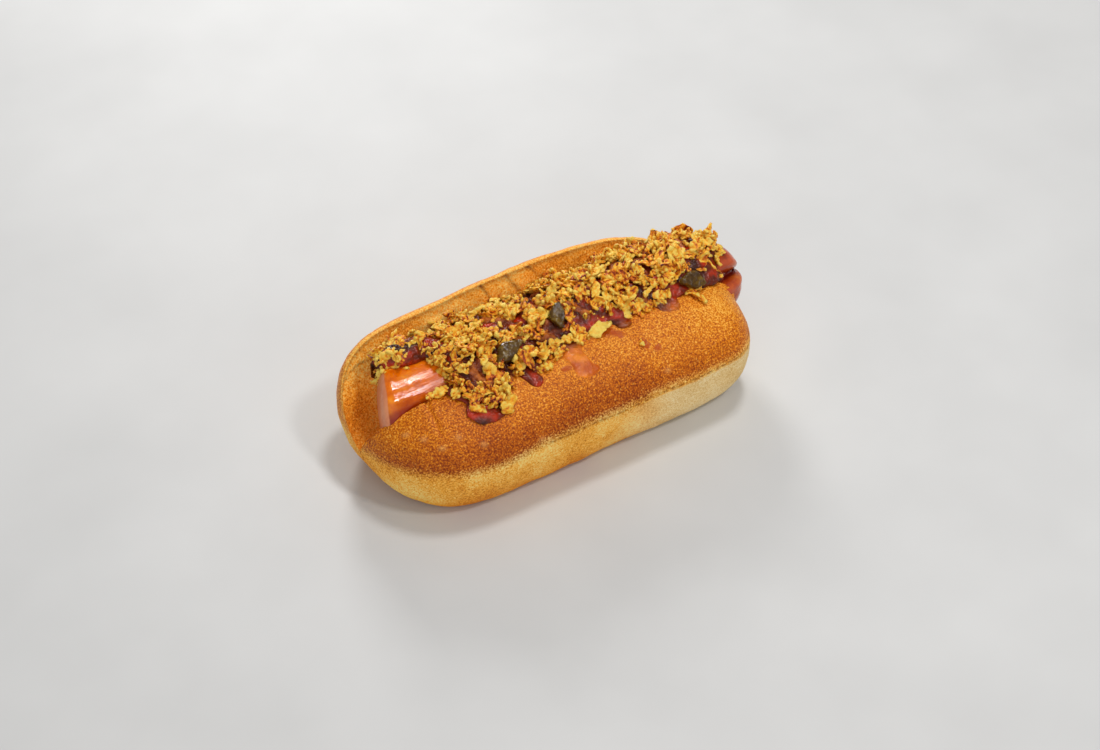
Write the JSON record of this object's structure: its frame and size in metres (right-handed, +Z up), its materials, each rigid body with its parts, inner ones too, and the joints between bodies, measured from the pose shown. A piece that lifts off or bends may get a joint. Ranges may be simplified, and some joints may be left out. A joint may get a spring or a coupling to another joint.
{
  "type": "hot dog",
  "caption": "Hot dog: a soft split roll holding a sausage, topped with red relish sauce, chunks of pickle and a heap of crisp fried onion.",
  "frame": {"origin": "the middle of the whole hot dog's box, on the surface that the roll lies on", "axes": "+Z up, X along the roll, -Y towards the roll's low bulging half"},
  "size_m": [0.1542, 0.068, 0.0521],
  "materials": {
    "bread": "soft golden brown crust with a faint sheen, pale cream sides, toasted ochre cut face",
    "sausage": "glossy grilled orange-brown skin, pink at the end",
    "sauce": "wet dark red sauce, amber where thin",
    "pickle": "wet dark olive green",
    "fried_onion": "crisp golden flakes with brown edges"
  },
  "bodies": {
    "root": {"bun": "bread", "sausage": "sausage", "sauce": "sauce", "pickle_left": "pickle", "pickle_middle": "pickle", "pickle_right": "pickle", "fried_onions": "fried_onion"}
  },
  "joints": []
}
